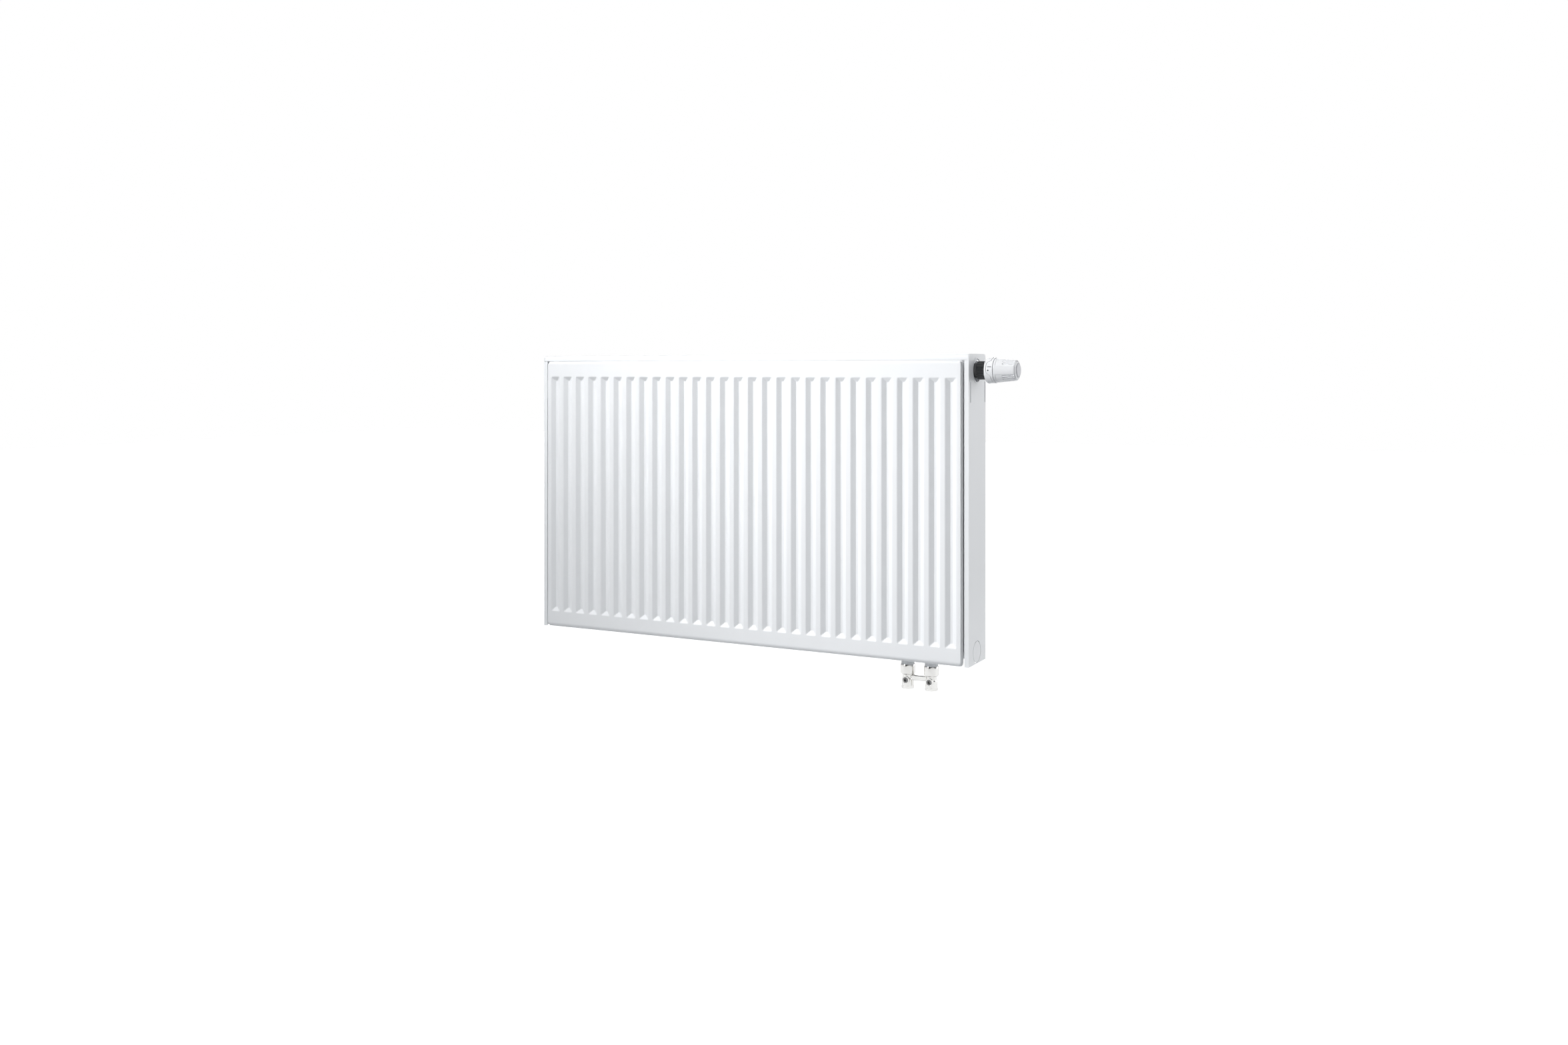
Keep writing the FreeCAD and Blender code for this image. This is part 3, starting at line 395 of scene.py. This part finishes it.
def plain(name, colour, roughness, coat=0.0):
    material, tree, shader = new_material(name)
    skin = place_group(tree, SPRAYED, Colour=colour, Drift=0.04, Peel_Size=1400.0,
                       Roughness=roughness, Roughness_Spread=0.08)
    tree.links.new(skin.outputs["Colour"], shader.inputs["Base Color"])
    tree.links.new(skin.outputs["Roughness"], shader.inputs["Roughness"])
    shader.inputs["Coat Weight"].default_value = coat
    raise_by(tree, skin.outputs["Height"], shader, 0.1, 0.0001)
    return material


# ------------------------------------------------------------------ seals
# O-rings, the valve's disc and the block's flat gaskets are moulded or cut from black EPDM rubber.
RUBBER = plain("sealing_rubber", (0.02, 0.02, 0.02, 1), 0.6)
for node in ("blank_plug_seals", "vent_seal", "valve_insert_seal", "valve_disc", "block_gaskets"):
    cad_finish(node, RUBBER)

# ------------------------------------------------------------------ thermostatic head
# The head is moulded in white ABS and held on the valve by a dark ribbed union nut.  Its base has a
# collar with a scalloped edge and two printed index marks; the cap turns in the collar and has
# sunk grip fields with three slots each; a grey disc closes its end.
DARK = plain("dark_plastic", (0.035, 0.038, 0.042, 1), 0.32, 0.1)
WHITE = plain("white_plastic", (0.83, 0.84, 0.86, 1), 0.28, 0.25)
GREY = plain("grey_plastic", (0.66, 0.67, 0.70, 1), 0.4)

nut_low, nut_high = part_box("head_union_nut")
HEAD_AXIS = ((nut_low.y + nut_high.y) / 2, (nut_low.z + nut_high.z) / 2)
NUT_RIBS = 20
NUT_GROOVE = 1.7 * MM
NUT_THREAD_R = 15.0 * MM
NUT_THREAD = 7.9 * MM
NUT_BORE_R = 12.6 * MM
NUT_CHAMFER = 1.0 * MM


def smooth_step(low, high, value):
    t = min(1.0, max(0.0, (value - low) / (high - low)))
    return t * t * (3 - 2 * t)


def lathe(bm, profile, steps, shape=None, closed=False):
    """Turns (x, radius) points about the head's axis; shape may change a radius by place and angle."""
    rings = []
    for x, radius in profile:
        if radius == 0:
            rings.append([bm.verts.new((x, HEAD_AXIS[0], HEAD_AXIS[1]))])
            continue
        ring = []
        for i in range(steps):
            turn = 2 * math.pi * i / steps
            r = shape(x, radius, turn) if shape else radius
            ring.append(bm.verts.new((x, HEAD_AXIS[0] - r * math.cos(turn),
                                      HEAD_AXIS[1] + r * math.sin(turn))))
        rings.append(ring)
    pairs = list(zip(rings, rings[1:]))
    if closed:
        pairs.append((rings[-1], rings[0]))
    for first, second in pairs:
        if len(first) == 1 or len(second) == 1:
            tip, ring = (first[0], second) if len(first) == 1 else (second[0], first)
            for v, w in zip(ring, ring[1:] + ring[:1]):
                bm.faces.new((tip, v, w))
        else:
            join_loops(bm, first, second)


def span(start, end, step):
    """Even places from start to end, about step apart."""
    count = max(1, round(abs(end - start) / step))
    return [start + (end - start) * i / count for i in range(count + 1)]


def ribbed(x, radius, turn):
    """Round-topped ribs on the nut's outside, running out towards its chamfers."""
    if radius < NUT_THREAD_R + 1.5 * MM:
        return radius
    groove = smooth_step(0.42, 0.78, 0.5 + 0.5 * math.cos(NUT_RIBS * turn))
    fade = smooth_step(0.6 * MM, 2.4 * MM, x - nut_low.x)
    return radius - NUT_GROOVE * groove * fade


nut_r = (nut_high.z - nut_low.z) / 2
bm = bmesh.new()
outside = [(nut_low.x, nut_r - NUT_CHAMFER), (nut_low.x + 0.3 * MM, nut_r - 0.35 * MM)]
outside += [(x, nut_r) for x in span(nut_low.x + 0.9 * MM, nut_high.x - 0.9 * MM, 0.8 * MM)]
outside += [(nut_high.x - 0.3 * MM, nut_r - 0.35 * MM), (nut_high.x, nut_r - NUT_CHAMFER)]
inside = [(nut_high.x, NUT_BORE_R), (nut_low.x + NUT_THREAD, NUT_BORE_R),
          (nut_low.x + NUT_THREAD, NUT_THREAD_R), (nut_low.x, NUT_THREAD_R)]
lathe(bm, outside + inside, 240, ribbed, closed=True)
finish_piece("head_union_nut_ribbed", bm, DARK, "radiator", ["head_union_nut"])

COLLAR_R = 25.6 * MM
RING_R = 24.8 * MM          # past the scalloped edge
COLLAR_BORE_R = 24.05 * MM
COLLAR_NECK_R = 13.0 * MM
COLLAR_WEB = 2.5 * MM
SWELL = 6.0 * MM            # rounded shoulder behind the nut
SWELL_START_R = 18.2 * MM
COLLAR_EDGE = 10.5 * MM     # nut to the middle of the scalloped edge
SCALLOP = 4.5 * MM
collar_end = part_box("head_base")[1].x


def scallop_edge(turn):
    """Where the collar's edge lies at this angle: three wide lobes round the head."""
    return nut_high.x + COLLAR_EDGE + SCALLOP * math.tanh(2.2 * math.sin(3 * turn - 2.2)) / math.tanh(2.2)


def scalloped(x, radius, turn):
    if radius < COLLAR_R - 0.1 * MM:
        return radius
    past = smooth_step(-0.45 * MM, 0.45 * MM, x - scallop_edge(turn))
    groove = smooth_step(0.9 * MM, 0.0, abs(x - scallop_edge(turn) - 0.9 * MM))
    return radius - (COLLAR_R - RING_R) * past - 0.25 * MM * groove


bm = bmesh.new()
outside = [(nut_high.x, 17.4 * MM)]
for i in range(11):
    turn = math.pi / 2 * i / 10
    outside.append((nut_high.x + SWELL * (1 - math.cos(turn)),
                    SWELL_START_R + (COLLAR_R - 0.11 * MM - SWELL_START_R) * math.sin(turn)))
outside += [(x, COLLAR_R) for x in span(nut_high.x + SWELL + 0.3 * MM, collar_end - 0.5 * MM, 0.35 * MM)]
outside += [(collar_end - 0.2 * MM, RING_R - 0.12 * MM), (collar_end, RING_R - 0.3 * MM)]
inside = [(collar_end, COLLAR_BORE_R), (nut_high.x + COLLAR_WEB, COLLAR_BORE_R),
          (nut_high.x + COLLAR_WEB, COLLAR_NECK_R), (nut_high.x, COLLAR_NECK_R)]
lathe(bm, outside + inside, 360, scalloped, closed=True)
finish_piece("head_collar", bm, WHITE, "radiator", ["head_base"])


def on_collar(x, turn, lift):
    r = RING_R + lift
    return (x, HEAD_AXIS[0] - r * math.cos(turn), HEAD_AXIS[1] + r * math.sin(turn))


def collar_mark(bm, outline):
    """Thin printed patch on the collar's ring; outline is (x, angle) points."""
    top = [bm.verts.new(on_collar(x, turn, 0.06 * MM)) for x, turn in outline]
    foot = [bm.verts.new(on_collar(x, turn, -0.1 * MM)) for x, turn in outline]
    join_loops(bm, top, foot)
    bm.faces.new(top)
    bm.faces.new(foot)


DASH_PLACE = 13.0 * MM      # from the nut
DASH_HALF = 3.4 * MM
DASH_END_R = 0.6 * MM
DASH_TURN = math.radians(16)
DOT_PLACE = 10.6 * MM
DOT_R = 1.4 * MM
bm = bmesh.new()
dash = []
for end in (1, -1):
    for i in range(9):
        turn = math.pi * i / 8 - math.pi / 2
        dash.append((nut_high.x + DASH_PLACE + end * (DASH_HALF + DASH_END_R * math.cos(turn)),
                     DASH_TURN + end * DASH_END_R * math.sin(turn) / RING_R))
collar_mark(bm, dash)
collar_mark(bm, [(nut_high.x + DOT_PLACE + DOT_R * math.cos(t * math.pi / 12),
                  DOT_R * math.sin(t * math.pi / 12) / RING_R) for t in range(24)])
finish_piece("head_index_marks", bm, DARK, "radiator")

# The cap's grip: four sunk fields, each with three slots that run out at the shoulder.
GRIP_FIELDS = 4
FIRST_FIELD = math.radians(48)
FIELD_HALF = math.radians(21)
SLOT_STEP = math.radians(12)
FIELD_SUNK = 0.55 * MM
SLOT_SUNK = 2.0 * MM
SLOT_HALF = 0.95 * MM
cap_low, cap_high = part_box("head_cap")
field_start = collar_end + 4.5 * MM
slot_start = collar_end + 17.5 * MM
slot_end = cap_high.x - 3.6 * MM


def gripped(x, radius, turn):
    if x < field_start - 1 * MM or radius < 18 * MM:
        return radius
    pitch = 2 * math.pi / GRIP_FIELDS
    away = (turn - FIRST_FIELD + pitch / 2) % pitch - pitch / 2
    along = smooth_step(field_start - 0.6 * MM, field_start + 0.6 * MM, x)
    edge = 0.7 * MM / radius
    field = smooth_step(FIELD_HALF + edge, FIELD_HALF - edge, abs(away)) * along
    slot = 0.0
    for i in (-1, 0, 1):
        across = abs(away - i * SLOT_STEP) * radius
        into = min(x - slot_start, slot_end - x)
        round_end = math.hypot(across, min(0.0, into - SLOT_HALF))
        slot = max(slot, smooth_step(SLOT_HALF + 0.35 * MM, SLOT_HALF - 0.35 * MM, round_end))
    return radius - FIELD_SUNK * field - SLOT_SUNK * slot


CAP_R = 23.6 * MM
CAP_END_R = 19.9 * MM
CAP_BORE_R = 17.0 * MM
SHOULDER = 5.0 * MM
DISC_R = 14.0 * MM
DISC_SEAT = 2.2 * MM        # how deep the disc sits in the cap
bm = bmesh.new()
cone_start = collar_end + 2 * MM
cone_end = cap_high.x - SHOULDER
outside = [(cap_low.x, CAP_BORE_R), (cap_low.x, CAP_R - 0.3 * MM), (cap_low.x + 0.3 * MM, CAP_R)]
outside += [(x, CAP_R) for x in span(cap_low.x + 1 * MM, cone_start, 1.5 * MM)]
for x in span(cone_start + 0.5 * MM, cone_end, 0.45 * MM):
    outside.append((x, CAP_R + (CAP_END_R - CAP_R) * (x - cone_start) / (cone_end - cone_start)))
for i in range(1, 15):
    turn = math.pi / 2 * i / 14
    outside.append((cone_end + SHOULDER * math.sin(turn),
                    CAP_END_R - (CAP_END_R - DISC_R - 0.6 * MM) * (1 - math.cos(turn))))
inside = [(cap_high.x, DISC_R + 0.25 * MM), (cap_high.x - 0.3 * MM, DISC_R),
          (cap_high.x - DISC_SEAT, DISC_R), (cap_high.x - DISC_SEAT, CAP_BORE_R)]
lathe(bm, outside + inside, 432, gripped, closed=True)
finish_piece("head_cap_gripped", bm, WHITE, "cap", ["head_cap"])

disc_low, disc_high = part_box("head_cap_disc")
bm = bmesh.new()
rim = disc_low.x + 2.4 * MM
lathe(bm, [(disc_low.x, 0), (disc_low.x, DISC_R - 0.1 * MM), (rim, DISC_R - 0.1 * MM),
           (rim + 0.3 * MM, DISC_R - 0.4 * MM), (disc_high.x - 0.5 * MM, DISC_R - 1.6 * MM),
           (disc_high.x - 0.1 * MM, DISC_R - 2.6 * MM), (disc_high.x, DISC_R - 4.0 * MM),
           (disc_high.x - 0.15 * MM, DISC_R - 8.0 * MM), (disc_high.x - 0.2 * MM, 0)], 96)
finish_piece("head_end_disc", bm, GREY, "cap", ["head_cap_disc"])

# ------------------------------------------------------------------ floor, light and camera
# Pale matt floor under a white studio.  The floor returns less light to the underside, and fittings
# that mirror it see a painted shadow in it: dark beneath the connection block and bright further out.
FLOOR_REACH = 12.0
FLOOR_DROP = 0.16
floor_z = cad_box[0].z - FLOOR_DROP
floor_mesh = bpy.data.meshes.new("floor")
floor_mesh.from_pydata([(-FLOOR_REACH, -FLOOR_REACH, floor_z), (FLOOR_REACH, -FLOOR_REACH, floor_z),
                        (FLOOR_REACH, FLOOR_REACH, floor_z), (-FLOOR_REACH, FLOOR_REACH, floor_z)],
                       [], [(0, 1, 2, 3)])
floor = bpy.data.objects.new("floor", floor_mesh)
bpy.context.scene.collection.objects.link(floor)
pale, tree, shader = new_material("pale_floor")
shader.inputs["Roughness"].default_value = 0.9
seen = add_node(tree, "LightPath")
paint = add_node(tree, "Mix", data_type="RGBA")
paint.inputs[6].default_value = (0.82, 0.83, 0.84, 1)     # as seen
paint.inputs[7].default_value = (0.45, 0.46, 0.47, 1)     # as it lights the underside
tree.links.new(seen.outputs["Is Diffuse Ray"], paint.inputs[0])
tree.links.new(paint.outputs[2], shader.inputs["Base Color"])
# Painted shadow for reflections only: glossy rays see the floor glow from nothing under the block up to
# 0.3 further out.
spot = add_node(tree, "TexCoord")
away = add_node(tree, "VectorMath", operation="DISTANCE")
block_low, block_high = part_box("block_body")
under_block = (block_low + block_high) / 2
away.inputs[1].default_value = (under_block.x, under_block.y, floor_z)
tree.links.new(spot.outputs["Object"], away.inputs[0])
painted_reflection_shadow_ramp = add_node(tree, "MapRange", From_Min=0.2, From_Max=0.6, To_Min=0.0, To_Max=0.3)
tree.links.new(away.outputs["Value"], painted_reflection_shadow_ramp.inputs["Value"])
mirrored = add_node(tree, "Math", operation="MULTIPLY")
tree.links.new(painted_reflection_shadow_ramp.outputs[0], mirrored.inputs[0])
tree.links.new(seen.outputs["Is Glossy Ray"], mirrored.inputs[1])
glow = add_node(tree, "Math", operation="MULTIPLY_ADD")
glow.inputs[1].default_value = 0.7
tree.links.new(seen.outputs["Is Camera Ray"], glow.inputs[0])
tree.links.new(mirrored.outputs[0], glow.inputs[2])
tree.links.new(glow.outputs[0], shader.inputs["Emission Color"])
shader.inputs["Emission Strength"].default_value = 1.0
floor_mesh.materials.append(pale)


def studio_world():
    """White to the eye; dimmer and cooler low down as light; bright with a dark band as a reflection."""
    world = bpy.data.worlds.new("studio")
    world.use_nodes = True
    tree = world.node_tree
    backdrop = tree.nodes["Background"]
    backdrop.inputs["Color"].default_value = (1, 1, 1, 1)
    backdrop.inputs["Strength"].default_value = 1.0
    ambient = add_node(tree, "Background", Strength=0.52)
    mirrored = add_node(tree, "Background", Strength=1.0)
    place = add_node(tree, "TexCoord")
    split = add_node(tree, "SeparateXYZ")
    tree.links.new(place.outputs["Generated"], split.inputs[0])
    ramp = add_node(tree, "ValToRGB")
    ramp.color_ramp.elements[0].position = 0.35
    ramp.color_ramp.elements[0].color = (0.55, 0.60, 0.64, 1)
    ramp.color_ramp.elements[1].position = 0.75
    ramp.color_ramp.elements[1].color = (1.0, 1.0, 1.0, 1)
    height = add_node(tree, "Math", operation="MULTIPLY_ADD")
    height.inputs[1].default_value = 0.5
    height.inputs[2].default_value = 0.5
    tree.links.new(split.outputs["Z"], height.inputs[0])
    tree.links.new(height.outputs[0], ramp.inputs["Fac"])
    tree.links.new(ramp.outputs["Color"], ambient.inputs["Color"])
    bands = add_node(tree, "ValToRGB")
    for position, value in ((0.58, 0.8), (0.64, 0.02), (0.80, 0.02), (0.86, 1.0)):
        stop = bands.color_ramp.elements.new(position)
        stop.color = (value, value, value, 1)
    bands.color_ramp.elements[0].color = (0.9, 0.9, 0.9, 1)
    bands.color_ramp.elements[-1].color = (1, 1, 1, 1)
    tree.links.new(height.outputs[0], bands.inputs["Fac"])
    tree.links.new(bands.outputs["Color"], mirrored.inputs["Color"])
    path = add_node(tree, "LightPath")
    light = add_node(tree, "MixShader")
    tree.links.new(path.outputs["Is Glossy Ray"], light.inputs["Fac"])
    tree.links.new(ambient.outputs[0], light.inputs[1])
    tree.links.new(mirrored.outputs[0], light.inputs[2])
    mix = add_node(tree, "MixShader")
    tree.links.new(path.outputs["Is Camera Ray"], mix.inputs["Fac"])
    tree.links.new(light.outputs[0], mix.inputs[1])
    tree.links.new(backdrop.outputs[0], mix.inputs[2])
    tree.links.new(mix.outputs[0], tree.nodes["World Output"].inputs["Surface"])
    bpy.context.scene.world = world


def soft_light(name, place, target, size, power, spread=180):
    light = bpy.data.lights.new(name, "AREA")
    light.shape = "DISK"
    light.size = size
    light.energy = power
    light.spread = math.radians(spread)
    lamp = bpy.data.objects.new(name, light)
    lamp.location = place
    lamp.rotation_euler = (Vector(target) - Vector(place)).to_track_quat("-Z", "Y").to_euler()
    bpy.context.scene.collection.objects.link(lamp)


studio_world()
soft_light("key", (-1.5, -2.55, 1.1), (0.75, 0.0, 0.05), 0.9, 4.5, spread=42)
soft_light("top_left", (-0.7, -0.9, 1.2), (-0.2, 0.0, 0.15), 0.7, 5.6, spread=120)
soft_light("back_fill", (-0.8, 2.4, 0.9), (0.0, 0.0, 0.0), 1.5, 9, spread=120)
soft_light("side_fill", (2.1, 1.2, 0.4), (0.5, -0.05, 0.0), 2.2, 9.5, spread=120)

camera_data = bpy.data.cameras.new("camera")
camera = bpy.data.objects.new("camera", camera_data)
bpy.context.scene.collection.objects.link(camera)
bpy.context.scene.camera = camera
camera_data.sensor_width = 36.0
camera_data.lens = 31.8827
camera_data.shift_x = -0.021131
camera_data.shift_y = -0.096726
camera_data.clip_end = 50
camera.location = (1.425, -2.6055, 0.267)
camera.rotation_euler = (math.radians(90), 0, math.radians(26.51))
bpy.context.scene.view_settings.view_transform = "Standard"
